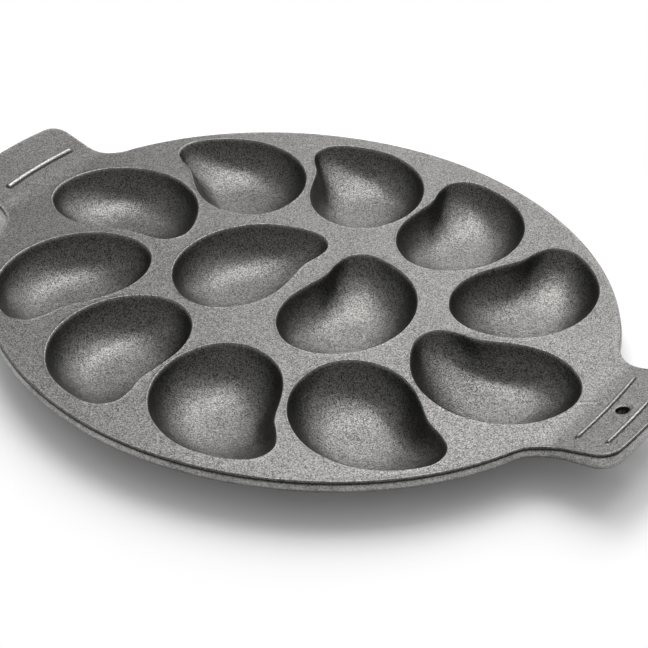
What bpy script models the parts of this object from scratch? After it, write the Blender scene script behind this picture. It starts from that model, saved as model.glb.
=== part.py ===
# Oyster grill pan, one iron casting: an oval plate with twelve oyster shaped wells
# and a tab handle at each end of its long axis.
# Lengths are in metres and Z points up. The pan stands on the flat feet under its
# wells at Z = 0, and the middle of the oval is at X = 0, Y = 0.

import bpy
import bmesh
from math import atan2, cos, hypot, pi, radians, sin, sqrt
from mathutils import Vector

# The whole plan, measured at the widest line of the rim: the pan is the oval's
# length and two handles long
OVAL_LENGTH = 0.3547
OVAL_WIDTH = 0.3050

# Power of the oval's sine and cosine: 1 is an ellipse, and more is leaner
OVAL_POWER = 1.027

# Plate and rim
PLATE_THICKNESS = 0.0066
RIM_LAND = 0.0020
RIM_LEDGE = 0.0008
RIM_DRAFT = 0.0012

# Handles
HANDLE_REACH = 0.0353
HANDLE_WIDTH = 0.0772
HANDLE_CORNER_RADIUS = 0.0110
HANDLE_END_BOW = 0.0027
HANDLE_END_THICKNESS = 0.0100
HANDLE_RISE = 0.0098
HANDLE_BEND_FROM_END = 0.0395
NECK_RADIUS = 0.0208

# Grip ribs on the handles, and the hanging hole
RIB_LENGTH = 0.0565
RIB_WIDTH = 0.0026
RIB_HEIGHT = 0.0011
RIB_SINK = 0.0006
RIB_BOW = 0.0011
INNER_RIB_FROM_END = 0.0255
OUTER_RIB_FROM_END = 0.0098
HOLE_DIAMETER = 0.0064
HOLE_FROM_END = 0.0180

# Wells
WELL_DEPTH = 0.0195
WELL_WALL = 0.0040
WELL_FLOOR = 0.0045
WELL_LIP_ROUND = 0.0008

# One overrun for every cut
OVERRUN = 0.0040

# Length of a well as a share of the oval's middling width, so that the wells keep
# their land between them
WELL_LENGTH_SHARE = 0.2786

# Outline of a well as shares of its length, the beak at +X and its hooked side at +Y
WELL_OUTLINE_SHARES = (
    (-0.489, -0.006), (-0.465, 0.163), (-0.358, 0.282), (-0.226, 0.339),
    (-0.090, 0.347), (0.045, 0.318), (0.203, 0.269), (0.338, 0.266),
    (0.444, 0.234), (0.502, 0.130), (0.474, -0.012), (0.387, -0.172),
    (0.262, -0.288), (0.091, -0.361), (-0.090, -0.368), (-0.263, -0.311),
    (-0.407, -0.189),
)

# Deepest place of a well as shares of its length
WELL_DEEP_SHARES = (-0.03, 0.00)

# Level lines of a well: share of the outline that is left, share of the depth
WELL_LEVEL_SHARES = (
    (1.00, 0.00), (0.935, 0.30), (0.83, 0.57), (0.67, 0.80), (0.46, 0.945), (0.20, 1.00),
)

# The same for the outside of its wall, which ends in a flat foot
SHELL_LEVEL_SHARES = (
    (1.00, 0.12), (0.95, 0.36), (0.84, 0.62), (0.66, 0.86), (0.42, 1.00),
)

# Wells of one half of the plate: place as shares of half the oval, turn in degrees,
# and +1 for a right shell or -1 for its mirror image
HALF_WELL_SHARES = (
    (0.7116, -0.0602, -173.6, -1),
    (0.5286, -0.4620, -24.3, 1),
    (0.1652, -0.6575, -45.9, 1),
    (0.2338, 0.6302, 103.8, 1),
    (0.5934, 0.4110, 77.3, 1),
)

# The two wells in the middle face each other, this share of a well's length from
# the middle of the plate
MIDDLE_WELL_SHARE = 0.3801
MIDDLE_WELL_TURN = 98.6

# Facets
OVAL_STEPS = 14
CORNER_STEPS = 3
END_STEPS = 3
NECK_STEPS = 4
SPAN_STEPS = 2
HOLE_SIDES = 20
RIB_SIDES = 4
RIB_STATION_SHARES = (-1.0, -0.96, -0.85, -0.45, 0.0, 0.45, 0.85, 0.96, 1.0)
RIB_END_SHARE = 0.45

TOP_HEIGHT = WELL_DEPTH + WELL_FLOOR
WELL_LENGTH = WELL_LENGTH_SHARE * sqrt(OVAL_LENGTH * OVAL_WIDTH)
HANDLE_END = OVAL_LENGTH / 2 + HANDLE_REACH
BEND_X = HANDLE_END - HANDLE_BEND_FROM_END


def iron_material():
    """Dark grey sand cast iron with a thin baked oil finish."""
    material = bpy.data.materials.new("cast_iron")
    material.use_nodes = True
    shader = material.node_tree.nodes["Principled BSDF"]
    shader.inputs["Base Color"].default_value = (0.12, 0.12, 0.125, 1.0)
    shader.inputs["Metallic"].default_value = 0.6
    shader.inputs["Roughness"].default_value = 0.55
    return material


def arc(centre_x, centre_y, radius, start, end, steps):
    """Points of an arc, both ends included."""
    turns = [start + (end - start) * step / steps for step in range(steps + 1)]
    return [(centre_x + radius * cos(turn), centre_y + radius * sin(turn)) for turn in turns]


def oval_point(turn):
    """Point of the oval's first quarter and its outward normal."""
    long_half = OVAL_LENGTH / 2
    short_half = OVAL_WIDTH / 2
    across = max(0, cos(turn))
    up = max(0, sin(turn))
    point = Vector((long_half * across ** OVAL_POWER, short_half * up ** OVAL_POWER))
    slope = Vector((across ** (2 - OVAL_POWER) / long_half, up ** (2 - OVAL_POWER) / short_half))
    return point, slope.normalized()


def neck_turn():
    """Turn on the oval where the neck fillet is tangent, found by halving."""
    low = 0.0
    high = pi / 2
    for _ in range(60):
        middle = (low + high) / 2
        point, normal = oval_point(middle)
        if point.y + NECK_RADIUS * normal.y < HANDLE_WIDTH / 2 + NECK_RADIUS:
            low = middle
        else:
            high = middle
    return (low + high) / 2


def quarter_outline():
    """Rim from the middle of the +X handle's end to the middle of the +Y side."""
    half_width = HANDLE_WIDTH / 2
    end_radius = (half_width ** 2 + HANDLE_END_BOW ** 2) / (2 * HANDLE_END_BOW)
    end_centre = HANDLE_END - end_radius
    corner_y = half_width - HANDLE_CORNER_RADIUS
    corner_x = end_centre + sqrt((end_radius - HANDLE_CORNER_RADIUS) ** 2 - corner_y ** 2)
    corner_turn = atan2(corner_y, corner_x - end_centre)
    tangent = neck_turn()
    point, normal = oval_point(tangent)
    neck = point + NECK_RADIUS * normal
    neck_end = atan2(-normal.y, -normal.x)
    points = arc(end_centre, 0, end_radius, 0, corner_turn, END_STEPS)
    points += arc(corner_x, corner_y, HANDLE_CORNER_RADIUS, corner_turn, pi / 2, CORNER_STEPS)[1:]
    points += arc(neck.x, neck.y, NECK_RADIUS, -pi / 2, neck_end, NECK_STEPS)
    for step in range(1, OVAL_STEPS + 1):
        place, _ = oval_point(tangent + (pi / 2 - tangent) * step / OVAL_STEPS)
        points.append((place.x, place.y))
    return points


def rim_outline():
    """Closed outline of the rim, anticlockwise from the +X end."""
    quarter = quarter_outline()
    left = [(-x, y) for x, y in reversed(quarter[:-1])]
    upper = quarter + left
    lower = [(x, -y) for x, y in reversed(upper[1:-1])]
    return upper + lower


def moved_out(points, distance):
    """Outline moved outward, or inward for a negative distance."""
    moved = []
    for index, (x, y) in enumerate(points):
        before = points[index - 1]
        after = points[(index + 1) % len(points)]
        along = (Vector(after) - Vector(before)).normalized()
        moved.append((x + along.y * distance, y - along.x * distance))
    return moved


def smooth_loop(points, steps):
    """Closed curve through the points, rounded between each two of them."""
    count = len(points)
    curve = []
    for index in range(count):
        p0, p1, p2, p3 = (Vector(points[(index + shift) % count]) for shift in (-1, 0, 1, 2))
        for step in range(steps):
            t = step / steps
            place = p1 * 2 + (p2 - p0) * t
            place += (p0 * 2 - p1 * 5 + p2 * 4 - p3) * t ** 2
            place += (p1 * 3 - p0 - p2 * 3 + p3) * t ** 3
            curve.append(tuple(place / 2))
    return curve


def loft(name, rings):
    """Closed body through rings of equally many points, from the lowest to the highest."""
    form = bmesh.new()
    loops = [[form.verts.new(point) for point in ring] for ring in rings]
    for lower, upper in zip(loops, loops[1:]):
        for index in range(len(lower)):
            after = (index + 1) % len(lower)
            form.faces.new((lower[index], lower[after], upper[after], upper[index]))
    form.faces.new(list(reversed(loops[0])))
    form.faces.new(loops[-1])
    bmesh.ops.recalc_face_normals(form, faces=form.faces)
    return finish(name, form)


def finish(name, form):
    """New object from a form, in the pan's collection until it is used."""
    mesh = bpy.data.meshes.new(name)
    form.to_mesh(mesh)
    form.free()
    body = bpy.data.objects.new(name, mesh)
    pan_parts.objects.link(body)
    return body


def rise_share(x):
    """Share of a handle's length past its bend at a place along X."""
    return max(0, abs(x) - BEND_X) / (HANDLE_END - BEND_X)


def top_at(x):
    """Height of the top face, which climbs along the handles."""
    return TOP_HEIGHT + HANDLE_RISE * rise_share(x)


def make_plate():
    """Oval plate with its handles: rim land, parting ledge and drafted lower band."""
    lip = rim_outline()
    edge = moved_out(lip, -RIM_LEDGE)
    foot = moved_out(lip, -RIM_DRAFT)
    land_height = TOP_HEIGHT - RIM_LAND
    under_height = TOP_HEIGHT - PLATE_THICKNESS
    sections = ((foot, under_height), (lip, land_height), (edge, land_height), (edge, TOP_HEIGHT))
    plate = loft("pan_casting", [[(x, y, z) for x, y in ring] for ring, z in sections])
    form = bmesh.new()
    form.from_mesh(plate.data)
    for side in (-1, 1):
        bmesh.ops.bisect_plane(
            form, geom=form.verts[:] + form.edges[:] + form.faces[:],
            plane_co=(side * BEND_X, 0, 0), plane_no=(1, 0, 0))
    middle = (land_height + under_height) / 2
    for vertex in form.verts:
        share = rise_share(vertex.co.x)
        vertex.co.z += HANDLE_RISE * share
        if vertex.co.z - HANDLE_RISE * share < middle:
            vertex.co.z -= (HANDLE_END_THICKNESS - PLATE_THICKNESS) * share
    bmesh.ops.triangulate(form, faces=form.faces[:])
    form.to_mesh(plate.data)
    form.free()
    return plate


def well_places():
    """Middle, turn and hand of every well: five, their half turn copies, and two more."""
    places = []
    for x_share, y_share, turn, hand in HALF_WELL_SHARES:
        middle = Vector((x_share * OVAL_LENGTH / 2, y_share * OVAL_WIDTH / 2))
        places.append((middle, radians(turn), hand))
        places.append((-middle, radians(turn) + pi, hand))
    offset = MIDDLE_WELL_SHARE * WELL_LENGTH
    places.append((Vector((offset, 0)), radians(MIDDLE_WELL_TURN), 1))
    places.append((Vector((-offset, 0)), pi - radians(MIDDLE_WELL_TURN), -1))
    return places


def well_ring(place, scale, spread, z):
    """Level line of a well: its outline shrunk to the deepest place, then spread."""
    middle, turn, hand = place
    deep = Vector(WELL_DEEP_SHARES) * WELL_LENGTH
    ring = []
    for point in smooth_loop(WELL_OUTLINE_SHARES, SPAN_STEPS):
        out = Vector(point) * WELL_LENGTH - deep
        local = deep + out * scale + out.normalized() * spread
        x = local.x * cos(turn) - local.y * hand * sin(turn)
        y = local.x * sin(turn) + local.y * hand * cos(turn)
        ring.append((middle.x + x, middle.y + y, z))
    return ring if hand > 0 else ring[::-1]


def make_shell(place, index):
    """Outside of a well's wall, from inside the plate down to its flat foot."""
    rings = []
    for scale, depth_share in reversed(SHELL_LEVEL_SHARES):
        z = TOP_HEIGHT * (1 - depth_share)
        rings.append(well_ring(place, scale, WELL_WALL * scale, z))
    return loft(f"well_shell_{index}", rings)


def make_hollow(place, index):
    """Cutter of a well, with its chamfered lip and an overrun above the plate."""
    rings = []
    for scale, depth_share in reversed(WELL_LEVEL_SHARES):
        z = TOP_HEIGHT - WELL_LIP_ROUND - (WELL_DEPTH - WELL_LIP_ROUND) * depth_share
        rings.append(well_ring(place, scale, 0, z))
    rings.append(well_ring(place, 1, 2 * WELL_LIP_ROUND, TOP_HEIGHT + WELL_LIP_ROUND))
    rings.append(well_ring(place, 1, 2 * WELL_LIP_ROUND, TOP_HEIGHT + OVERRUN))
    return loft(f"well_hollow_{index}", rings)


def make_rib(name, side, from_end):
    """Bead across a handle, bowed with its end, its foot sunk into the top face."""
    rings = []
    for share in RIB_STATION_SHARES:
        x = side * (HANDLE_END - from_end - RIB_BOW * share ** 2)
        y = share * RIB_LENGTH / 2
        size = RIB_END_SHARE if abs(share) == 1 else 1
        ring = []
        for step in range(RIB_SIDES + 1):
            turn = pi * step / RIB_SIDES
            rise = (RIB_SINK + RIB_HEIGHT * size) * sin(turn) - RIB_SINK
            ring.append((RIB_WIDTH / 2 * size * cos(turn), rise))
        rings.append([(x + across, y, top_at(x + across) + rise) for across, rise in ring])
    return loft(name, rings)


def make_hole():
    """Cutter of the hanging hole in the +X handle."""
    form = bmesh.new()
    depth = HANDLE_END_THICKNESS + HANDLE_RISE + OVERRUN
    bmesh.ops.create_cone(
        form, cap_ends=True, segments=HOLE_SIDES, radius1=HOLE_DIAMETER / 2,
        radius2=HOLE_DIAMETER / 2, depth=2 * depth)
    hole = finish("hanging_hole", form)
    hole.location = (HANDLE_END - HOLE_FROM_END, 0, top_at(HANDLE_END - HOLE_FROM_END))
    return hole


def join_all(body, others):
    """Union of the body with pieces of the same casting, which are used up."""
    for other in others:
        modifier = body.modifiers.new("join", "BOOLEAN")
        modifier.operation = "UNION"
        modifier.solver = "EXACT"
        modifier.object = other
    apply_modifiers(body)
    for other in others:
        bpy.data.objects.remove(other)


def apply_modifiers(body):
    """Keep the shape that the modifiers make."""
    bpy.context.view_layer.update()
    shape = body.evaluated_get(bpy.context.evaluated_depsgraph_get())
    mesh = bpy.data.meshes.new_from_object(shape)
    body.modifiers.clear()
    body.data = mesh


def cut_with(body, cutters):
    """Live cuts of the wells and the hole, their cutters in a collection of their own."""
    for cutter in cutters:
        pan_parts.objects.unlink(cutter)
        pan_cutters.objects.link(cutter)
        cutter.hide_render = True
        cutter.display_type = "WIRE"
        modifier = body.modifiers.new(cutter.name, "BOOLEAN")
        modifier.operation = "DIFFERENCE"
        modifier.solver = "EXACT"
        modifier.object = cutter


def make_pan():
    """The whole casting."""
    pan = make_plate()
    places = well_places()
    shells = [make_shell(place, index) for index, place in enumerate(places, 1)]
    ribs = [
        make_rib("right_inner_rib", 1, INNER_RIB_FROM_END),
        make_rib("right_outer_rib", 1, OUTER_RIB_FROM_END),
        make_rib("left_inner_rib", -1, INNER_RIB_FROM_END),
    ]
    join_all(pan, shells + ribs)
    hollows = [make_hollow(place, index) for index, place in enumerate(places, 1)]
    cut_with(pan, hollows + [make_hole()])
    pan.data.materials.clear()
    pan.data.materials.append(iron_material())
    pan.data.shade_smooth()
    pan.data.set_sharp_from_angle(angle=radians(30))
    return pan


for old in list(bpy.data.objects):
    bpy.data.objects.remove(old)

pan_parts = bpy.data.collections.new("oyster_grill_pan")
pan_cutters = bpy.data.collections.new("oyster_grill_pan_cutters")
bpy.context.scene.collection.children.link(pan_parts)
bpy.context.scene.collection.children.link(pan_cutters)

make_pan()
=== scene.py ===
# %% [markdown]
# # An oyster grill pan in cast iron
# The real pan is one pour of iron: an oval plate with twelve oyster shaped wells, a
# tab handle at each end, and the skin of the sand mould all over. The CAD solid has
# its sizes but is cut from flat facets. It could be smoothed with a modifier, but that
# would also soften the rim's small ledge. So this script builds the whole skin anew
# from the same measures, as one closed mesh, and gives it the finish of cast iron.

from math import atan2, cos, hypot, pi, radians, sin, sqrt

import bmesh
import bpy
import numpy as np
from mathutils import Matrix, Vector
from mathutils.geometry import delaunay_2d_cdt


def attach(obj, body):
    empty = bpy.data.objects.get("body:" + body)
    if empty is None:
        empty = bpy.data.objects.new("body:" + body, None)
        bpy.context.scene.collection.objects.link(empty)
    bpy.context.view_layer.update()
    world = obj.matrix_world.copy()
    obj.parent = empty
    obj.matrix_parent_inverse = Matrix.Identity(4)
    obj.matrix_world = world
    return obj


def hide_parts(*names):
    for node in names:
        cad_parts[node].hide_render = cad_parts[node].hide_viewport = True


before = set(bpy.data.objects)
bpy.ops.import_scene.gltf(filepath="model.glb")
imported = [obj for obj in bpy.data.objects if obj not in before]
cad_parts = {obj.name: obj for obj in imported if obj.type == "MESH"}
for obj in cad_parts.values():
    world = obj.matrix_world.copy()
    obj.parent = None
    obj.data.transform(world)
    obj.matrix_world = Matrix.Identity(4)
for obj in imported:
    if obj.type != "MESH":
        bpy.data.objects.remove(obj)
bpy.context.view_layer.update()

# %% [markdown]
# ## Camera
# The camera stands where it stood for the picture of the real pan, to its front right
# and 36 degrees up. A place found by eye would be off by degrees, so it was fitted to
# the rim, the handles, the wells and the hanging hole together. The picture was cropped
# from a larger one, and the shift moves its optical middle back to the right.

# %% Place the camera
IMAGE_SIZE = 648
SENSOR_WIDTH = 36.0
FOCAL_PIXELS = 1747.4
PRINCIPAL_POINT_RIGHT = 60
CAMERA_TARGET = Vector((0.05863, -0.00372, 0.0240))
CAMERA_DISTANCE = 0.8933
CAMERA_AZIMUTH = radians(35.05)
CAMERA_ELEVATION = radians(36.11)
CAMERA_ROLL = radians(0.28)

camera_back = Vector((
    sin(CAMERA_AZIMUTH) * cos(CAMERA_ELEVATION),
    -cos(CAMERA_AZIMUTH) * cos(CAMERA_ELEVATION),
    sin(CAMERA_ELEVATION)))
level_right = Vector((cos(CAMERA_AZIMUTH), sin(CAMERA_AZIMUTH), 0))
level_up = camera_back.cross(level_right)
camera_right = level_right * cos(CAMERA_ROLL) + level_up * sin(CAMERA_ROLL)
camera_up = camera_back.cross(camera_right)

camera_data = bpy.data.cameras.new("camera")
camera_data.sensor_width = SENSOR_WIDTH
camera_data.lens = FOCAL_PIXELS * SENSOR_WIDTH / IMAGE_SIZE
camera_data.shift_x = -PRINCIPAL_POINT_RIGHT / IMAGE_SIZE
camera_data.clip_start = 0.05
camera_data.clip_end = 60
camera = bpy.data.objects.new("camera", camera_data)
turned = Matrix((camera_right, camera_up, camera_back)).transposed().to_4x4()
camera.matrix_world = Matrix.Translation(CAMERA_TARGET + camera_back * CAMERA_DISTANCE) @ turned
bpy.context.scene.collection.objects.link(camera)
bpy.context.scene.camera = camera

scene = bpy.context.scene
scene.view_settings.view_transform = "Standard"
print("camera at", [round(value, 4) for value in camera.matrix_world.translation])

# %% [markdown]
# ## Measures of the pan
# All in metres, the same as in the CAD model. Shared names keep the skin on the solid:
# a change to one measure moves every surface that follows from it.

# %% Name the measures
OVAL_LENGTH = 0.3547
OVAL_WIDTH = 0.3050
OVAL_POWER = 1.027
HANDLE_END = OVAL_LENGTH / 2 + 0.0353
PLATE_THICKNESS = 0.0066
RIM_LEDGE = 0.0008
RIM_DRAFT = 0.0012

HANDLE_WIDTH = 0.0772
HANDLE_CORNER_RADIUS = 0.0110
HANDLE_END_BOW = 0.0027
HANDLE_END_THICKNESS = 0.0100
HANDLE_RISE = 0.0098
BEND_X = HANDLE_END - 0.0360
BEND_EASE = 0.0050
NECK_RADIUS = 0.0208

RIB_HEIGHT = 0.0014
RIB_BOW = 0.0011
# Side, distance from the handle's end, middle, length and width of each rib
RIBS = ((1, 0.0255, 0.0, 0.0565, 0.0026), (1, 0.0098, 0.0, 0.0565, 0.0026),
        (-1, 0.0232, 0.0019, 0.0522, 0.0034))
# Ends of a flash line beside the well next to the right handle
MARK = ((0.1722, -0.0018), (0.1800, 0.0026))
MARK_WIDTH = 0.0008
MARK_HEIGHT = 0.00028
HOLE_RADIUS = 0.0032
HOLE_X = HANDLE_END - 0.0180

WELL_LENGTH = 0.2786 * sqrt(OVAL_LENGTH * OVAL_WIDTH)
WELL_DEPTH = 0.0195
WELL_WALL = 0.0040
TOP_HEIGHT = WELL_DEPTH + 0.0045
LIP_EASE = 0.0008
FILLET = 0.0022

# %% [markdown]
# ## Outlines
# The rim of the real pan is an oval with a tab at each end, joined by hollow fillets,
# and a well is a hooked oval, blunt at one end and with a short beak at the other. Both
# could be drawn by hand as curves. Here the rim is worked out from its measures, so
# that its fillets are truly tangent, and the well is a smooth curve through seventeen
# points. Its depth is a second curve, from the lip to the floor, with no overshoot
# between its points. Deep down a well is rounder than at its lip, so the hook fades out
# there: the outline is split into waves round the well, and the quick ones are damped
# the most.

# %% Outline of the rim
def arc(centre_x, centre_y, radius, start, end, steps):
    """Points of an arc, both ends included."""
    turns = np.linspace(start, end, steps + 1)
    return [(centre_x + radius * cos(turn), centre_y + radius * sin(turn)) for turn in turns]


def oval_point(turn):
    """Point of the oval in its first quarter and its outward normal there."""
    across, up = max(0, cos(turn)), max(0, sin(turn))
    point = Vector((across ** OVAL_POWER * OVAL_LENGTH / 2, up ** OVAL_POWER * OVAL_WIDTH / 2))
    normal = Vector((across ** (2 - OVAL_POWER) / OVAL_LENGTH, up ** (2 - OVAL_POWER) / OVAL_WIDTH))
    return point, normal.normalized()


def neck_turn():
    """Turn on the oval where the neck fillet is tangent, found by halving."""
    low, high = 0.0, pi / 2
    for _ in range(60):
        middle = (low + high) / 2
        point, normal = oval_point(middle)
        if point.y + NECK_RADIUS * normal.y < HANDLE_WIDTH / 2 + NECK_RADIUS:
            low = middle
        else:
            high = middle
    return (low + high) / 2


def rim_outline():
    """Closed outline of the rim, anticlockwise from the middle of the +X end."""
    half_width = HANDLE_WIDTH / 2
    end_radius = (half_width ** 2 + HANDLE_END_BOW ** 2) / (2 * HANDLE_END_BOW)
    end_centre = HANDLE_END - end_radius
    corner_y = half_width - HANDLE_CORNER_RADIUS
    corner_x = end_centre + sqrt((end_radius - HANDLE_CORNER_RADIUS) ** 2 - corner_y ** 2)
    corner_turn = atan2(corner_y, corner_x - end_centre)
    tangent = neck_turn()
    point, normal = oval_point(tangent)
    neck = point + NECK_RADIUS * normal
    neck_end = atan2(-normal.y, -normal.x)
    quarter = arc(end_centre, 0, end_radius, 0, corner_turn, 14)
    quarter += arc(corner_x, corner_y, HANDLE_CORNER_RADIUS, corner_turn, pi / 2, 8)[1:]
    straight = quarter[-1][0] - neck.x
    quarter += [(quarter[-1][0] - straight * step / 9, half_width) for step in range(1, 9)]
    quarter += arc(neck.x, neck.y, NECK_RADIUS, -pi / 2, neck_end, 10)
    turns = np.linspace(tangent, pi / 2, 81)[1:]
    quarter += [tuple(oval_point(turn)[0]) for turn in turns]
    upper = quarter + [(-x, y) for x, y in reversed(quarter[:-1])]
    return np.array(upper + [(x, -y) for x, y in reversed(upper[1:-1])])


def moved_out(loop, distance):
    """Loop moved outward, or inward for a negative distance."""
    along = np.roll(loop, -1, 0) - np.roll(loop, 1, 0)
    along /= np.linalg.norm(along, axis=1)[:, None]
    return loop + distance * np.stack([along[:, 1], -along[:, 0]], 1)


rim = rim_outline()
print("rim:", len(rim), "points,", round(np.ptp(rim[:, 0]) * 1000, 1), "by",
      round(np.ptp(rim[:, 1]) * 1000, 1), "mm")

# %% Outline and depth of a well
# Corners of the curve, in well lengths, with the beak at the upper right
WELL_OUTLINE = np.array((
    (-0.489, -0.006), (-0.465, 0.163), (-0.358, 0.282), (-0.226, 0.339),
    (-0.090, 0.347), (0.045, 0.318), (0.203, 0.269), (0.338, 0.266),
    (0.444, 0.234), (0.502, 0.130), (0.474, -0.012), (0.387, -0.172),
    (0.262, -0.288), (0.091, -0.361), (-0.090, -0.368), (-0.263, -0.311),
    (-0.407, -0.189),
)) * WELL_LENGTH
WELL_DEEP = np.array((-0.03, 0.00)) * WELL_LENGTH
# Share of the outline and share of the depth, inside and for the outer shell
WELL_LEVELS = ((0.0, 1.0), (0.20, 0.995), (0.46, 0.945), (0.67, 0.80), (0.83, 0.57),
               (0.935, 0.30), (1.0, 0.0))
SHELL_LEVELS = ((0.0, 1.0), (0.42, 1.0), (0.66, 0.86), (0.84, 0.62), (0.95, 0.36),
                (1.0, 0.12), (1.03, -0.1))

# Wells of one half of the plate: place in half ovals, turn in degrees, hand
HALF_WELLS = (
    (0.7116, -0.0602, -173.6, 1), (0.5286, -0.4620, -24.3, 0), (0.1652, -0.6575, -45.9, 0),
    (0.2338, 0.6302, 103.8, 0), (0.5934, 0.4110, 77.3, 0),
)
MIDDLE_WELL = (0.3801 * WELL_LENGTH, 98.6)


def smooth_loop(points, steps):
    """Closed curve through the points, rounded between each two of them."""
    t = (np.arange(steps) / steps)[:, None]
    curve = []
    for index in range(len(points)):
        p0, p1, p2, p3 = (points[(index + shift) % len(points)] for shift in (-1, 0, 1, 2))
        span = p1 * 2 + (p2 - p0) * t + (p0 * 2 - p1 * 5 + p2 * 4 - p3) * t ** 2
        curve.append((span + (p1 * 3 - p0 - p2 * 3 + p3) * t ** 3) / 2)
    return np.concatenate(curve)


def smooth_levels(levels):
    """Depth as a smooth function of the share of the outline, with no overshoot."""
    x, y = np.array(levels).T
    step, slope = np.diff(x), np.diff(y) / np.diff(x)
    knot = np.concatenate([[slope[0]], np.zeros(len(x) - 2), [slope[-1]]])
    for i in range(1, len(x) - 1):
        if slope[i - 1] * slope[i] > 0:
            first, second = 2 * step[i] + step[i - 1], step[i] + 2 * step[i - 1]
            knot[i] = (first + second) / (first / slope[i - 1] + second / slope[i])

    def depth(share):
        share = np.clip(share, x[0], x[-1])
        i = np.clip(np.searchsorted(x, share, side="right") - 1, 0, len(step) - 1)
        t = (share - x[i]) / step[i]
        rise = y[i] + (y[i + 1] - y[i]) * t * t * (3 - 2 * t)
        return rise + step[i] * t * (1 - t) * (knot[i] * (1 - t) - knot[i + 1] * t)

    return depth


well_loop = smooth_loop(WELL_OUTLINE, 6)
well_depth = smooth_levels(WELL_LEVELS)
shell_depth = smooth_levels(SHELL_LEVELS)
out = well_loop - WELL_DEEP
well_turns = np.unwrap(np.arctan2(out[:, 1], out[:, 0]))
well_radii = np.hypot(out[:, 0], out[:, 1])
order = np.argsort(np.mod(well_turns, 2 * pi))
print("well:", len(well_loop), "points, star shaped:", bool(np.all(np.diff(well_turns) < 0)))


def well_radius(turn):
    """Distance of the outline from the deepest place, towards a turn."""
    return np.interp(np.mod(turn, 2 * pi), np.mod(well_turns, 2 * pi)[order],
                     well_radii[order], period=2 * pi)


# %% Fading of the hook with depth
HOOK_FADE = radians(28)
HOOK_FADE_FROM = 0.5
HOOK_WAVES = 10
waves = np.fft.rfft(well_radius(np.radians(np.arange(360)))) / 180


def hook_fade(turn, share):
    """Change of the radius where a lower level is rounder than the outline."""
    spread = HOOK_FADE * np.clip((1 - share) / HOOK_FADE_FROM, 0, 1)
    change = np.zeros(np.shape(turn))
    for wave in range(1, HOOK_WAVES + 1):
        part = waves[wave].real * np.cos(wave * turn) - waves[wave].imag * np.sin(wave * turn)
        change += part * (np.exp(-(wave * spread) ** 2 / 2) - 1)
    return change


# %% Places of the wells
def well_places():
    """Middle, turn and hand of every well."""
    places = []
    for x, y, turn, hand in HALF_WELLS:
        middle = np.array((x * OVAL_LENGTH / 2, y * OVAL_WIDTH / 2))
        places.append((middle, radians(turn), hand))
        places.append((-middle, radians(turn) + pi, hand))
    offset, turn = MIDDLE_WELL[0], radians(MIDDLE_WELL[1])
    places.append((np.array((offset, 0.0)), turn, 0))
    places.append((np.array((-offset, 0.0)), pi - turn, 1))
    return places


places = well_places()


def from_well(points, place):
    """Points of a well's own plan on the plate. Hand 1 is the mirror image."""
    middle, turn, hand = place
    x, y = points[:, 0], points[:, 1] * (-1 if hand else 1)
    return middle + np.stack([x * cos(turn) - y * sin(turn), x * sin(turn) + y * cos(turn)], 1)


def to_well(points, place):
    """Points of the plate in a well's own plan."""
    middle, turn, hand = place
    x, y = (points - middle).T
    flat = np.stack([x * cos(turn) + y * sin(turn), -x * sin(turn) + y * cos(turn)], 1)
    return flat * (1, -1 if hand else 1)

# %% [markdown]
# ## Heights
# The top climbs along the handles and carries the ribs. The underside is the lowest of
# the plate and the wells' outer walls, blended where they meet, as in a casting.
# Modelled one by one, these would have to be cut and joined where they cross. As
# heights over the plan they need no cuts: each point takes its height from a formula,
# and the fillets come from blending two heights.

# %% Height of the top
def eased_rise(x):
    """Share of a handle's length past its bend, with the bend eased."""
    past = (np.abs(x) - BEND_X) / (HANDLE_END - BEND_X)
    ease = BEND_EASE / (HANDLE_END - BEND_X)
    eased = (past + ease) ** 2 / (4 * ease)
    return np.where(past < -ease, 0, np.where(past > ease, past, eased))


def bead_height(points):
    """Height of the beads over the handles: round tops and filleted feet."""
    height = np.zeros(len(points))
    x, y = points.T
    for side, from_end, middle_y, length, width in RIBS:
        share = np.clip((y - middle_y) * 2 / length, -1, 1)
        middle = side * (HANDLE_END - from_end - RIB_BOW * share ** 2)
        beyond = np.maximum(0, np.abs(y - middle_y) - (length - width) / 2)
        away = np.hypot(x - middle, beyond) / (width / 2)
        height = np.maximum(height, RIB_HEIGHT * np.maximum(0, 1 - away ** 3))
    return height


def mark_height(points):
    """Height of the small flash line beside a well, left by a crack in the mould."""
    start, end = np.array(MARK)
    along = end - start
    share = np.clip((points - start) @ along / (along @ along), 0, 1)
    away = np.linalg.norm(points - start - share[:, None] * along, axis=1) / (MARK_WIDTH / 2)
    return MARK_HEIGHT * np.maximum(0, 1 - away ** 2)


def top_height(points):
    """Top face of the plate and the handles."""
    rise = HANDLE_RISE * eased_rise(points[:, 0])
    return TOP_HEIGHT + rise + bead_height(points) + mark_height(points)


# %% Height of the underside
def plate_under(x):
    """Underside of the plate and the handles, which thicken towards their ends."""
    share = eased_rise(x)
    thick = PLATE_THICKNESS + (HANDLE_END_THICKNESS - PLATE_THICKNESS) * share
    return TOP_HEIGHT + HANDLE_RISE * share - thick


def under_height(points):
    """Underside with the wells' outer walls, blended over the fillet."""
    height = plate_under(points[:, 0])
    for place in places:
        away = to_well(points, place) - WELL_DEEP
        radius = np.hypot(away[:, 0], away[:, 1])
        turn = np.arctan2(away[:, 1], away[:, 0])
        wide = well_radius(turn) + WELL_WALL
        share = radius / wide
        for _ in range(3):
            share = radius / (wide + hook_fade(turn, share))
        wall = TOP_HEIGHT * (1 - shell_depth(np.minimum(share, 1.03)))
        near = share < 1.03
        blend = np.clip(0.5 + (height - wall) / (2 * FILLET), 0, 1)
        mixed = height + (wall - height) * blend - FILLET * blend * (1 - blend)
        height = np.where(near, np.minimum(height, mixed), height)
    return height

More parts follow.
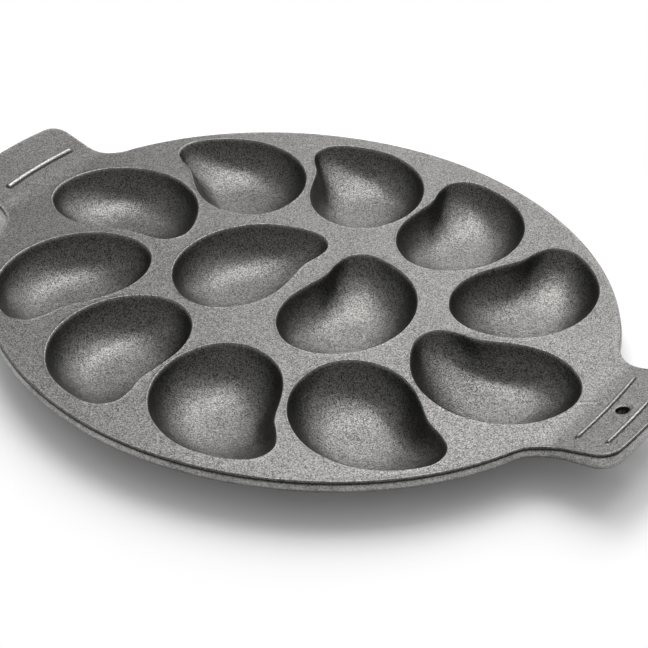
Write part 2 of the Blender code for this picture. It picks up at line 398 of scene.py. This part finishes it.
# %% [markdown]
# ## Sheets
# Each face of the plate is one sheet of small triangles between its loops: the rim, the
# lips of the wells and the hanging hole. A cut with Booleans would leave long thin
# triangles that shade badly. A Delaunay triangulation that keeps the loops gives even
# ones. Rows beside each loop hold the shading, and finer rows follow the ribs.

# %% Points of the sheets
def inside(points, loop):
    """True for the points inside a closed loop."""
    x, y = points.T
    hit = np.zeros(len(points), bool)
    for (x0, y0), (x1, y1) in zip(loop, np.roll(loop, -1, 0)):
        if y0 != y1:
            crosses = (y0 > y) != (y1 > y)
            hit ^= crosses & (x < x0 + (y - y0) * (x1 - x0) / (y1 - y0))
    return hit


def hex_grid(pitch):
    """Points at the corners of equal triangles over the whole plan."""
    rows = np.arange(-OVAL_WIDTH / 2, OVAL_WIDTH / 2, pitch * sqrt(3) / 2)
    columns = np.arange(-HANDLE_END, HANDLE_END, pitch)
    grid = [np.stack([columns + pitch / 2 * (index % 2), np.full_like(columns, row)], 1)
            for index, row in enumerate(rows)]
    return np.concatenate(grid)


def thinned(points, loops, clearance):
    """Points that keep a clearance from every corner of the loops."""
    corners = np.concatenate(loops)
    cells = {}
    for corner in corners:
        cells.setdefault(tuple((corner // clearance).astype(int)), []).append(corner)
    kept = []
    for point in points:
        column, row = (point // clearance).astype(int)
        near = [corner for i in (-1, 0, 1) for j in (-1, 0, 1)
                for corner in cells.get((column + i, row + j), ())]
        if not near or min(hypot(*(point - corner)) for corner in near) > clearance:
            kept.append(point)
    return np.array(kept)


def bead_rows():
    """Rows of points along the beads, closer together than the sheet's own."""
    rows = []
    for side, from_end, middle_y, length, width in RIBS:
        for share in np.linspace(-1.06, 1.06, 61):
            middle = HANDLE_END - from_end - RIB_BOW * min(1, abs(share)) ** 2
            for across in np.linspace(-1, 1, 11) * width * 0.68:
                rows.append((side * (middle + across), middle_y + share * length / 2))
    start, end = np.array(MARK)
    normal = np.array((start[1] - end[1], end[0] - start[0])) / hypot(*(end - start))
    for share in np.linspace(0, 1, 20):
        for across in (-0.8, -0.4, 0.0, 0.4, 0.8):
            rows.append(tuple(start + (end - start) * share + normal * across * MARK_WIDTH))
    return np.array(rows)


# %% Triangulate the sheets
def sheet(outer, holes, extra, pitch, clearance):
    """Triangles between the outer loop and the holes, over a grid of a given pitch."""
    loops = [outer] + holes
    fill = hex_grid(pitch)
    fill = fill[inside(fill, outer)]
    for hole in holes:
        fill = fill[~inside(fill, hole)]
    fill = thinned(fill, loops + ([extra] if len(extra) else []), clearance)
    points = np.concatenate(loops + [extra.reshape(-1, 2), fill])
    edges = []
    start = 0
    for loop in loops:
        count = len(loop)
        edges += [(start + i, start + (i + 1) % count) for i in range(count)]
        start += count
    result = delaunay_2d_cdt([Vector(point) for point in points], edges, [], 1, 1e-9)
    flat = np.array([tuple(point) for point in result[0]])
    faces = np.array([tuple(face) for face in result[2]])
    middles = flat[faces].mean(1)
    keep = inside(middles, outer)
    for hole in holes:
        keep &= ~inside(middles, hole)
    return flat, faces[keep]


def hole_loop(radius):
    """Loop of the hanging hole."""
    turns = np.arange(32) * 2 * pi / 32
    return np.stack([HOLE_X + radius * np.cos(turns), radius * np.sin(turns)], 1)


RIM_EASE = 0.0010
RIM_IN = RIM_LEDGE + RIM_EASE
RIM_FOOT_EASE = 0.0008
HOLE_EASE = 0.0005
TOP_PITCH, TOP_CLEARANCE = 0.0024, 0.00085
UNDER_PITCH, UNDER_CLEARANCE = 0.0019, 0.0008
ROW_BY_LIP, ROW_BY_RIM, ROW_BY_FOOT = 0.0007, 0.0009, 0.0010

top_rim = moved_out(rim, -RIM_IN)
foot_rim = moved_out(rim, -RIM_DRAFT - RIM_FOOT_EASE)
radial = (well_loop - WELL_DEEP) / well_radii[:, None]
lip_loops = [from_well(WELL_DEEP + radial * (well_radii[:, None] + LIP_EASE), place)
             for place in places]
beside = [from_well(WELL_DEEP + radial * (well_radii[:, None] + LIP_EASE + ROW_BY_LIP), place)
          for place in places]
extra = np.concatenate(beside + [moved_out(rim, -RIM_IN - ROW_BY_RIM), bead_rows()])
top_plan, top_faces = sheet(
    top_rim, lip_loops + [hole_loop(HOLE_RADIUS + HOLE_EASE)], extra,
    TOP_PITCH, TOP_CLEARANCE)
top_points = np.column_stack([top_plan, top_height(top_plan)])
under_plan, under_faces = sheet(
    foot_rim, [hole_loop(HOLE_RADIUS + HOLE_EASE)], moved_out(foot_rim, -ROW_BY_FOOT),
    UNDER_PITCH, UNDER_CLEARANCE)
under_points = np.column_stack([under_plan, under_height(under_plan)])
print("top sheet:", len(top_faces), "triangles, underside:", len(under_faces), "triangles")

# %% [markdown]
# ## Rim, hole and well
# The rim of the real pan shows where the two halves of its mould met: a rounded top
# edge, a short recessed land, the parting ledge and a drafted band. The hole and the
# wells have eased edges. A Bevel modifier rounds every edge alike, so each section is
# written down point by point instead, and strips of quads carry it round its loop. A
# well is a stack of level lines under a rounded lip.

# %% Rim band and hole wall
def strip(rings):
    """Quads between rings of equally many points."""
    count = len(rings[0])
    points = np.concatenate(rings)
    faces = []
    for row in range(len(rings) - 1):
        for i in range(count):
            after = (i + 1) % count
            faces.append((row * count + i, row * count + after,
                          (row + 1) * count + after, (row + 1) * count + i))
    return points, faces


# Distance outwards and height over the top, then share of the way down the band
RIM_TOP = ((-0.0018, 0.0), (-0.00145, -0.00002), (-0.00118, -0.00010), (-0.00095, -0.00026),
           (-0.00082, -0.00048), (-0.00080, -0.00075))
RIM_GROOVE = ((-0.00092, -0.00120), (-0.00106, -0.00165), (-0.00106, -0.00188),
              (-0.00092, -0.00200), (-0.00066, -0.00203), (-0.00055, -0.00210),
              (-0.00048, -0.00224))
RIM_BAND = ((-0.00032, 0.10), (-0.00014, 0.24), (-0.00003, 0.38), (0.0, 0.52),
            (-0.00010, 0.66), (-0.00036, 0.80), (-0.00075, 0.91), (-0.00130, 0.975),
            (-0.0020, 1.0))

# Tone of each ring: above 0 lighter, as worn iron and painted highlight; 0 plain skin; below 0
# painted shade in the recessed land
# Top edge, ledge and band lighter with painted highlight over worn iron, the land under the top
# edge darker with painted shade
RIM_WEAR_AND_PAINTED_LIGHT = (0, 0.2, 0.6, 0.6, 0, -0.5, -0.8, -0.8, -0.7, -0.3, 1, 1, 1) + (1,) * 7 + (0.6, 0.2)


def rim_rings():
    """Rings of the rim band, from the top sheet down to the underside."""
    rings = []
    for distance, down in RIM_TOP + RIM_GROOVE:
        ring = moved_out(rim, distance)
        rings.append(np.column_stack([ring, top_height(ring) + down]))
    for distance, share in RIM_BAND:
        ring = moved_out(rim, distance)
        high = top_height(ring) + RIM_GROOVE[-1][1]
        low = plate_under(ring[:, 0])
        rings.append(np.column_stack([ring, high + (low - high) * share]))
    return rings


def hole_rings():
    """Rings of the hanging hole from the top sheet down, with eased edges."""
    rings = []
    for wide, down in ((HOLE_EASE, 0), (HOLE_EASE * 0.3, HOLE_EASE * 0.3), (0, HOLE_EASE)):
        ring = hole_loop(HOLE_RADIUS + wide)
        rings.append(np.column_stack([ring, top_height(ring) - down]))
    for wide, up in ((0, HOLE_EASE), (HOLE_EASE * 0.3, HOLE_EASE * 0.3), (HOLE_EASE, 0)):
        ring = hole_loop(HOLE_RADIUS + wide)
        rings.append(np.column_stack([ring, plate_under(ring[:, 0]) + up]))
    return rings


# %% One well, and the wear, painted highlight and painted shade of the top
# Ribs and the flash mark are lighter, partly as worn iron and partly as a painted highlight on
# their tops
RIB_WEAR_AND_HIGHLIGHT = 0.8
LIP_STEPS = 6
LIP_SHARE = 0.975
# The rounded lips of the wells are lighter, partly as worn edges and partly as a painted highlight
LIP_WEAR_AND_HIGHLIGHT = (0, 0.25, 0.50, 0.50, 0.20, 0, 0)
WALL_SHARES = (0.955, 0.935, 0.91, 0.88, 0.85, 0.81, 0.77, 0.72, 0.67, 0.61, 0.54, 0.46,
               0.38, 0.30, 0.21, 0.12, 0.05)


# Painted shade darkens the far handle, past the middle of its bend
HANDLE_PAINTED_SHADE = -0.9
HANDLE_PAINTED_SHADE_EASE = 0.008


def sheet_wear_and_painted_light(points):
    """Tone of the top: ribs and mark lighter, as worn iron and painted highlight, and the far
    handle darker with painted shade.
    """
    share = np.clip(0.5 - (points[:, 0] + BEND_X) / (2 * HANDLE_PAINTED_SHADE_EASE), 0, 1)
    # Painted shade on the far handle, eased in over its bend
    far_handle_shade = HANDLE_PAINTED_SHADE * share * share * (3 - 2 * share)
    rubbed_and_highlit = (bead_height(points) > RIB_HEIGHT * 0.6) | (mark_height(points) > MARK_HEIGHT * 0.6)
    return np.where(rubbed_and_highlit, RIB_WEAR_AND_HIGHLIGHT, far_handle_shade)


def well_rings():
    """Rings of a well at its own middle: a rounded lip, then its level lines."""
    rings = []
    for step in range(LIP_STEPS + 1):
        t = step / LIP_STEPS
        end = -(1 - LIP_SHARE) * well_radii
        low = WELL_DEPTH * well_depth(LIP_SHARE)
        spread = LIP_EASE * (1 - t) ** 2 + end * t ** 2
        ring = WELL_DEEP + radial * (well_radii + spread)[:, None]
        rings.append(np.column_stack([ring, np.full(len(ring), TOP_HEIGHT - low * t ** 2)]))
    for share in WALL_SHARES:
        ring = WELL_DEEP + radial * (share * (well_radii + hook_fade(well_turns, share)))[:, None]
        down = WELL_DEPTH * well_depth(share)
        rings.append(np.column_stack([ring, np.full(len(ring), TOP_HEIGHT - down)]))
    return rings


rim_points, rim_faces = strip(rim_rings())
hole_points, hole_faces = strip(hole_rings())
well_points, well_faces = strip(well_rings())
well_points = np.concatenate([well_points, [[*WELL_DEEP, TOP_HEIGHT - WELL_DEPTH]]])
last = len(well_points) - 1 - len(well_loop)
well_faces += [(last + i, last + (i + 1) % len(well_loop), len(well_points) - 1)
               for i in range(len(well_loop))]
print("rim:", len(rim_faces), "faces, one well:", len(well_faces), "faces")

# %% [markdown]
# ## Cast iron
# The sand leaves a fine grain in the iron, over a broader unevenness, and oils baked on
# in thin coats make it a dark satin grey. Edges worn by grinding or handling are lighter,
# partly as worn iron and partly as painted highlight, and the recess under the edge and
# the far handle are darker with painted shade. A photograph could be wrapped round the pan, but it
# would smear on the walls.
# The pattern is procedural, in the pan's own coordinates, so that it runs through the
# whole casting. The wear and the painted light and shade follow the shape, so they are an
# attribute of the points: 1 is worn iron and painted highlight, 0 the plain skin and -1 painted
# shade.

# %% Material
def linear(hex_colour):
    """Linear colour from an sRGB hex string."""
    values = [int(hex_colour[i:i + 2], 16) / 255 for i in (0, 2, 4)]
    return [v / 12.92 if v <= 0.04045 else ((v + 0.055) / 1.055) ** 2.4 for v in values] + [1.0]


def add_node(tree, kind, settings, links):
    """New node with its settings and the links into its inputs."""
    node = tree.nodes.new(kind)
    for name, value in settings.items():
        if hasattr(node, name) and name not in node.inputs:
            setattr(node, name, value)
        else:
            node.inputs[name].default_value = value
    for name, source in links.items():
        tree.links.new(source, node.inputs[name])
    return node


# Moulding sand is about 0.2 mm, too fine to show, so its grain is drawn twice as coarse
SAND_SIZE = 0.00045
GRAIN_SIZE = 0.0006
PEBBLE_SIZE = 0.0034
CLOUD_SIZE = 0.0320


def iron_material():
    """Grey iron, sand cast and seasoned with baked oils: a dark satin grey with grain, with painted
    highlight and painted shade from an attribute.
    """
    material = bpy.data.materials.new("sand_cast_iron")
    material.use_nodes = True
    tree = material.node_tree
    shader = tree.nodes["Principled BSDF"]
    place = add_node(tree, "ShaderNodeTexCoord", {}, {}).outputs["Object"]
    grain = add_node(tree, "ShaderNodeTexNoise", {
        "Scale": 1 / GRAIN_SIZE, "Detail": 3.0, "Roughness": 0.6}, {"Vector": place})
    pebble = add_node(tree, "ShaderNodeTexNoise", {
        "Scale": 1 / PEBBLE_SIZE, "Detail": 2.0, "Roughness": 0.5}, {"Vector": place})
    cloud = add_node(tree, "ShaderNodeTexNoise", {
        "Scale": 1 / CLOUD_SIZE, "Detail": 3.0, "Roughness": 0.55}, {"Vector": place})
    sand = add_node(tree, "ShaderNodeTexVoronoi", {"Scale": 1 / SAND_SIZE}, {"Vector": place})
    speckle = add_node(tree, "ShaderNodeSeparateColor", {}, {"Color": sand.outputs["Color"]})
    shade = add_node(tree, "ShaderNodeMix", {"data_type": "RGBA"}, {})
    tree.links.new(speckle.outputs["Red"], shade.inputs["Factor"])
    shade.inputs["A"].default_value = linear("2C2B2B")
    shade.inputs["B"].default_value = linear("787775")
    # Lighter where the attribute is above 0, as worn iron and painted highlight, in patches; darker
    # below 0, as painted shade
    wear_and_light = add_node(tree, "ShaderNodeAttribute", {"attribute_name": "wear_and_painted_light"}, {})
    worn_and_highlit = add_node(tree, "ShaderNodeMapRange", {}, {"Value": wear_and_light.outputs["Fac"]})
    # Share of the near-black painted shade, where the attribute is below 0
    painted_shade_share = add_node(tree, "ShaderNodeMapRange", {"From Max": -1.0, "To Max": 0.60},
                      {"Value": wear_and_light.outputs["Fac"]})
    patches = add_node(tree, "ShaderNodeMapRange", {
        "From Min": 0.35, "From Max": 0.60, "To Min": 0.55}, {"Value": cloud.outputs["Fac"]})
    amount = add_node(tree, "ShaderNodeMath", {"operation": "MULTIPLY"}, {})
    tree.links.new(worn_and_highlit.outputs["Result"], amount.inputs[0])
    tree.links.new(patches.outputs["Result"], amount.inputs[1])
    # Lighter tones for worn iron and painted highlight
    worn_and_highlight_tone = add_node(tree, "ShaderNodeMix", {"data_type": "RGBA"}, {})
    tree.links.new(speckle.outputs["Red"], worn_and_highlight_tone.inputs["Factor"])
    worn_and_highlight_tone.inputs["A"].default_value = linear("6A6968")
    worn_and_highlight_tone.inputs["B"].default_value = linear("B4B3B1")
    worn_and_highlit_mix = add_node(tree, "ShaderNodeMix", {"data_type": "RGBA"}, {})
    tree.links.new(amount.outputs["Value"], worn_and_highlit_mix.inputs["Factor"])
    tree.links.new(shade.outputs["Result"], worn_and_highlit_mix.inputs["A"])
    tree.links.new(worn_and_highlight_tone.outputs["Result"], worn_and_highlit_mix.inputs["B"])
    # Mix towards the near-black painted shade colour
    painted_shade_mix = add_node(tree, "ShaderNodeMix", {"data_type": "RGBA"}, {})
    tree.links.new(painted_shade_share.outputs["Result"], painted_shade_mix.inputs["Factor"])
    tree.links.new(worn_and_highlit_mix.outputs["Result"], painted_shade_mix.inputs["A"])
    painted_shade_mix.inputs["B"].default_value = linear("1C1B1B")
    tree.links.new(painted_shade_mix.outputs["Result"], shader.inputs["Base Color"])
    # Thin oil is glossier where it lies thicker
    rough = add_node(tree, "ShaderNodeMapRange", {
        "From Min": 0.3, "From Max": 0.7, "To Min": 0.29, "To Max": 0.37},
        {"Value": cloud.outputs["Fac"]})
    tree.links.new(rough.outputs["Result"], shader.inputs["Roughness"])
    shader.inputs["Metallic"].default_value = 1.0
    coarse = add_node(tree, "ShaderNodeBump", {"Strength": 0.35, "Distance": 0.0004},
                      {"Height": pebble.outputs["Fac"]})
    fine = add_node(tree, "ShaderNodeBump", {"Strength": 0.50, "Distance": 0.00024},
                    {"Height": grain.outputs["Fac"], "Normal": coarse.outputs["Normal"]})
    tree.links.new(fine.outputs["Normal"], shader.inputs["Normal"])
    return material


cast_iron = iron_material()

# %% [markdown]
# ## Assembly
# A geometry nodes tree sets one well at each of its twelve places, in its right or left
# hand form, joins the wells to the sheets, welds their edges, and gives the casting the
# slight waviness that a sand mould leaves. Twelve copies by hand would do, but the tree
# keeps one form for all, so that a change to it changes every well. The wave only sinks
# the surface, so the pan keeps inside its size.

# %% Objects that the tree uses
def make_object(name, points, faces):
    """New mesh object that isn't in the scene."""
    mesh = bpy.data.meshes.new(name)
    mesh.from_pydata([tuple(point) for point in points], [], [tuple(face) for face in faces])
    mesh.update()
    return bpy.data.objects.new(name, mesh)


def joined(parts):
    """Points and faces of several surfaces in one list."""
    points, faces, start = [], [], 0
    for part_points, part_faces in parts:
        points.append(part_points)
        faces += [tuple(int(corner) + start for corner in face) for face in part_faces]
        start += len(part_points)
    return np.concatenate(points), faces


right_well = make_object("right_well", well_points, well_faces)
left_well = make_object("left_well", well_points * (1, -1, 1),
                        [face[::-1] for face in well_faces])
sheets = make_object("sheets", *joined([
    (top_points, top_faces), (under_points, under_faces),
    (rim_points, rim_faces), (hole_points, hole_faces)]))


def set_attribute(thing, name, kind, values):
    """Give each point of an object its own value."""
    attribute = thing.data.attributes.new(name, kind, "POINT")
    attribute.data.foreach_set("value", values)


below_lip = len(well_points) - len(LIP_WEAR_AND_HIGHLIGHT) * len(well_loop)
# Lighter lip rings, as wear and painted highlight, and plain skin below them
well_wear_and_highlight = np.concatenate([np.repeat(LIP_WEAR_AND_HIGHLIGHT, len(well_loop)), np.zeros(below_lip)])
for well in (right_well, left_well):
    set_attribute(well, "wear_and_painted_light", "FLOAT", well_wear_and_highlight)
set_attribute(sheets, "wear_and_painted_light", "FLOAT", np.concatenate([
    sheet_wear_and_painted_light(top_plan), np.zeros(len(under_points)), np.repeat(RIM_WEAR_AND_PAINTED_LIGHT, len(rim)),
    np.zeros(len(hole_points))]))
pan = make_object("pan", [(*middle, 0) for middle, _, _ in places], [])
set_attribute(pan, "turn", "FLOAT", [turn for _, turn, _ in places])
set_attribute(pan, "left_hand", "BOOLEAN", [bool(hand) for _, _, hand in places])
bpy.context.scene.collection.objects.link(pan)

# %% Geometry nodes tree
def casting_tree():
    """Tree that sets the wells in the sheets, with named inputs."""
    tree = bpy.data.node_groups.new("casting", "GeometryNodeTree")
    sockets = {}
    for name, kind in (("Places", "Geometry"), ("Right Well", "Object"), ("Left Well", "Object"),
                       ("Sheets", "Object"), ("Weld Distance", "Float"), ("Wave Depth", "Float"),
                       ("Wave Size", "Float"), ("Iron", "Material")):
        item = tree.interface.new_socket(name, in_out="INPUT", socket_type="NodeSocket" + kind)
        sockets[name] = item.identifier
    tree.interface.new_socket("Casting", in_out="OUTPUT", socket_type="NodeSocketGeometry")
    given = tree.nodes.new("NodeGroupInput").outputs
    turn = add_node(tree, "GeometryNodeInputNamedAttribute",
                    {"data_type": "FLOAT", "Name": "turn"}, {})
    hand = add_node(tree, "GeometryNodeInputNamedAttribute",
                    {"data_type": "BOOLEAN", "Name": "left_hand"}, {})
    other = add_node(tree, "FunctionNodeBooleanMath", {"operation": "NOT"}, {})
    tree.links.new(hand.outputs["Attribute"], other.inputs[0])
    rotation = add_node(tree, "ShaderNodeCombineXYZ", {}, {"Z": turn.outputs["Attribute"]})
    branches = []
    for name, chosen in (("Right Well", other.outputs[0]),
                         ("Left Well", hand.outputs["Attribute"])):
        form = add_node(tree, "GeometryNodeObjectInfo", {}, {"Object": given[name]})
        setting = add_node(tree, "GeometryNodeInstanceOnPoints", {}, {
            "Points": given["Places"], "Selection": chosen,
            "Instance": form.outputs["Geometry"], "Rotation": rotation.outputs["Vector"]})
        branches.append(setting.outputs["Instances"])
    plate = add_node(tree, "GeometryNodeObjectInfo", {}, {"Object": given["Sheets"]})
    together = tree.nodes.new("GeometryNodeJoinGeometry")
    for source in branches + [plate.outputs["Geometry"]]:
        tree.links.new(source, together.inputs["Geometry"])
    real = add_node(tree, "GeometryNodeRealizeInstances", {}, {
        "Geometry": together.outputs["Geometry"]})
    welded = add_node(tree, "GeometryNodeMergeByDistance", {}, {
        "Geometry": real.outputs["Geometry"], "Distance": given["Weld Distance"]})
    scale = add_node(tree, "ShaderNodeMath", {"operation": "DIVIDE"}, {})
    scale.inputs[0].default_value = 1.0
    tree.links.new(given["Wave Size"], scale.inputs[1])
    noise = add_node(tree, "ShaderNodeTexNoise", {"Detail": 1.0}, {"Scale": scale.outputs[0]})
    sink = add_node(tree, "ShaderNodeMath", {"operation": "MULTIPLY"}, {})
    tree.links.new(noise.outputs["Fac"], sink.inputs[0])
    tree.links.new(given["Wave Depth"], sink.inputs[1])
    inward = add_node(tree, "ShaderNodeMath", {"operation": "MULTIPLY"}, {})
    tree.links.new(sink.outputs[0], inward.inputs[0])
    inward.inputs[1].default_value = -1.0
    normal = tree.nodes.new("GeometryNodeInputNormal")
    offset = add_node(tree, "ShaderNodeVectorMath", {"operation": "SCALE"}, {
        "Vector": normal.outputs["Normal"], "Scale": inward.outputs[0]})
    waved = add_node(tree, "GeometryNodeSetPosition", {}, {
        "Geometry": welded.outputs["Geometry"], "Offset": offset.outputs["Vector"]})
    smooth = add_node(tree, "GeometryNodeSetShadeSmooth", {},
                      {"Geometry": waved.outputs["Geometry"]})
    painted = add_node(tree, "GeometryNodeSetMaterial", {}, {
        "Geometry": smooth.outputs["Geometry"], "Material": given["Iron"]})
    result = tree.nodes.new("NodeGroupOutput")
    tree.links.new(painted.outputs["Geometry"], result.inputs[0])
    return tree, sockets


# %% Grow the casting
WELD_DISTANCE = 0.00002
WAVE_DEPTH = 0.00018
WAVE_SIZE = 0.030

tree, sockets = casting_tree()
modifier = pan.modifiers.new("casting", "NODES")
modifier.node_group = tree
for name, value in (("Right Well", right_well), ("Left Well", left_well), ("Sheets", sheets),
                    ("Weld Distance", WELD_DISTANCE), ("Wave Depth", WAVE_DEPTH),
                    ("Wave Size", WAVE_SIZE),
                    ("Iron", cast_iron)):
    modifier[sockets[name]] = value
bpy.context.view_layer.update()
shape = pan.evaluated_get(bpy.context.evaluated_depsgraph_get())
mesh = bpy.data.meshes.new_from_object(shape)
pan.modifiers.remove(modifier)
pan.data = mesh

form = bmesh.new()
form.from_mesh(mesh)
bmesh.ops.recalc_face_normals(form, faces=form.faces)
open_edges = [edge for edge in form.edges if len(edge.link_faces) != 2]
form.to_mesh(mesh)
print("pan:", len(mesh.vertices), "points,", sum(len(face.verts) - 2 for face in form.faces),
      "triangles,", len(open_edges), "open edges, volume",
      round(form.calc_volume() * 1e6, 1), "cm3")
form.free()

# %% Put the pan in the frame
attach(pan, "root")
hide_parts("pan_casting")

# %% [markdown]
# ## Studio
# The real pan was lit by broad soft light from high behind it, which the wells and the
# rim show as soft bright patches, on white paper. One lamp would give one hard patch in
# each well. So a row of soft boxes stands on an arc behind the pan, each as strong as
# the tones of the iron ask for, and an even world fills the rest. The paper is plain
# white for rays that look at it, straight or by way of a shiny surface, and near the
# pan it keeps its shadow. It is clear from below, so that the underside can be looked
# at.

# %% Floor
# The paper turns plain white between these distances, in metres
WHITE_FROM = 0.25
WHITE_AT = 0.33
WHITE_NEAR = 0.04
SHADOW_SHAPE = (1.0, 1.35, 0.0)


def floor_material():
    """White paper, plain white past the pan's shadow, and clear from below."""
    material = bpy.data.materials.new("white_paper")
    material.use_nodes = True
    shader = material.node_tree.nodes["Principled BSDF"]
    shader.inputs["Base Color"].default_value = (0.90, 0.90, 0.90, 1.0)
    shader.inputs["Roughness"].default_value = 0.9
    shader.inputs["Specular IOR Level"].default_value = 0.1
    tree = material.node_tree
    clear = add_node(tree, "ShaderNodeBsdfTransparent", {}, {})
    side = add_node(tree, "ShaderNodeNewGeometry", {}, {})
    place = add_node(tree, "ShaderNodeTexCoord", {}, {}).outputs["Object"]
    oval = add_node(tree, "ShaderNodeVectorMath", {"operation": "MULTIPLY"}, {})
    tree.links.new(place, oval.inputs[0])
    oval.inputs[1].default_value = SHADOW_SHAPE
    far = add_node(tree, "ShaderNodeVectorMath", {"operation": "LENGTH"},
                   {"Vector": oval.outputs["Vector"]})
    fade = add_node(tree, "ShaderNodeMapRange", {
        "interpolation_type": "SMOOTHSTEP", "From Min": WHITE_FROM, "From Max": WHITE_AT,
        "To Min": WHITE_NEAR},
        {"Value": far.outputs["Value"]})
    seen = add_node(tree, "ShaderNodeLightPath", {}, {})
    whitened = seen.outputs["Is Camera Ray"]
    # White for the camera, and for metal and glass that reflect or show the paper
    for ray in ("Is Glossy Ray", "Is Transmission Ray"):
        either = add_node(tree, "ShaderNodeMath", {"operation": "MAXIMUM"}, {})
        tree.links.new(whitened, either.inputs[0])
        tree.links.new(seen.outputs[ray], either.inputs[1])
        whitened = either.outputs["Value"]
    amount = add_node(tree, "ShaderNodeMath", {"operation": "MULTIPLY"}, {})
    tree.links.new(fade.outputs["Result"], amount.inputs[0])
    tree.links.new(whitened, amount.inputs[1])
    white = add_node(tree, "ShaderNodeEmission", {"Color": (1, 1, 1, 1), "Strength": 1.0}, {})
    mixed = add_node(tree, "ShaderNodeMixShader", {}, {"Fac": amount.outputs["Value"]})
    tree.links.new(shader.outputs["BSDF"], mixed.inputs[1])
    tree.links.new(white.outputs["Emission"], mixed.inputs[2])
    above = add_node(tree, "ShaderNodeMixShader", {}, {"Fac": side.outputs["Backfacing"]})
    tree.links.new(mixed.outputs["Shader"], above.inputs[1])
    tree.links.new(clear.outputs["BSDF"], above.inputs[2])
    tree.links.new(above.outputs["Shader"], tree.nodes["Material Output"].inputs["Surface"])
    return material


FLOOR_HALF = 30.0
floor = make_object("floor", [(-FLOOR_HALF, -FLOOR_HALF, 0), (FLOOR_HALF, -FLOOR_HALF, 0),
                              (FLOOR_HALF, FLOOR_HALF, 0), (-FLOOR_HALF, FLOOR_HALF, 0)],
                    [(0, 1, 2, 3)])
floor.data.materials.append(floor_material())
bpy.context.scene.collection.objects.link(floor)


# %% Soft boxes
def soft_light(name, place, aim, size, power):
    """Soft box at a place, facing a point."""
    data = bpy.data.lights.new(name, "AREA")
    data.shape = "RECTANGLE"
    data.size, data.size_y = size
    data.energy = power
    light = bpy.data.objects.new(name, data)
    facing = (Vector(place) - Vector(aim)).to_track_quat("Z", "Y").to_matrix().to_4x4()
    light.matrix_world = Matrix.Translation(place) @ facing
    bpy.context.scene.collection.objects.link(light)
    return light


def studio_place(turn, height, distance):
    """Place of a lamp: turn 0 is behind the pan as seen, 90 to its right."""
    ahead = Vector((-sin(CAMERA_AZIMUTH), cos(CAMERA_AZIMUTH), 0))
    level = ahead * cos(radians(turn)) + level_right * sin(radians(turn))
    return (level * cos(radians(height)) + Vector((0, 0, sin(radians(height))))) * distance


LAMP_SPREAD = 0.35

# Turn and height in degrees, distance in metres, and power in watts
LAMPS = (
    (330, 35, 2.0, 1.9),
    (10, 35, 2.0, 2.0),
    (50, 35, 2.0, 1.4),
    (75, 35, 2.0, 1.5),
    (350, 48, 2.0, 1.7),
    (10, 48, 2.0, 5.6),
    (30, 48, 2.0, 0.9),
    (350, 60, 2.0, 4.1),
    (50, 60, 2.0, 4.7),
    (330, 72, 2.0, 3.2),
    (350, 72, 2.0, 3.5),
    (285, 50, 2.0, 1.0),
    (0, 20, 2.0, 3.0),
    (30, 20, 2.0, 4.2),
    (30, 45, 0.9, 0.4),
    (90, 65, 0.9, 0.4),
    (0, 65, 0.9, 0.9),
)
for turn, height, distance, power in LAMPS:
    wide = distance * LAMP_SPREAD
    soft_light(f"soft_box_{turn}_{height}_{distance}", studio_place(turn, height, distance),
               (0, 0, 0), (wide, wide), power)
print("soft boxes:", len(LAMPS), "with", round(sum(lamp[3] for lamp in LAMPS), 1), "W in all")

# %% World
WORLD_STRENGTH = 0.47

world = bpy.data.worlds.new("studio")
world.use_nodes = True
scene.world = world
ambient = world.node_tree.nodes["Background"]
ambient.inputs["Color"].default_value = (1, 1, 1, 1)
ambient.inputs["Strength"].default_value = WORLD_STRENGTH
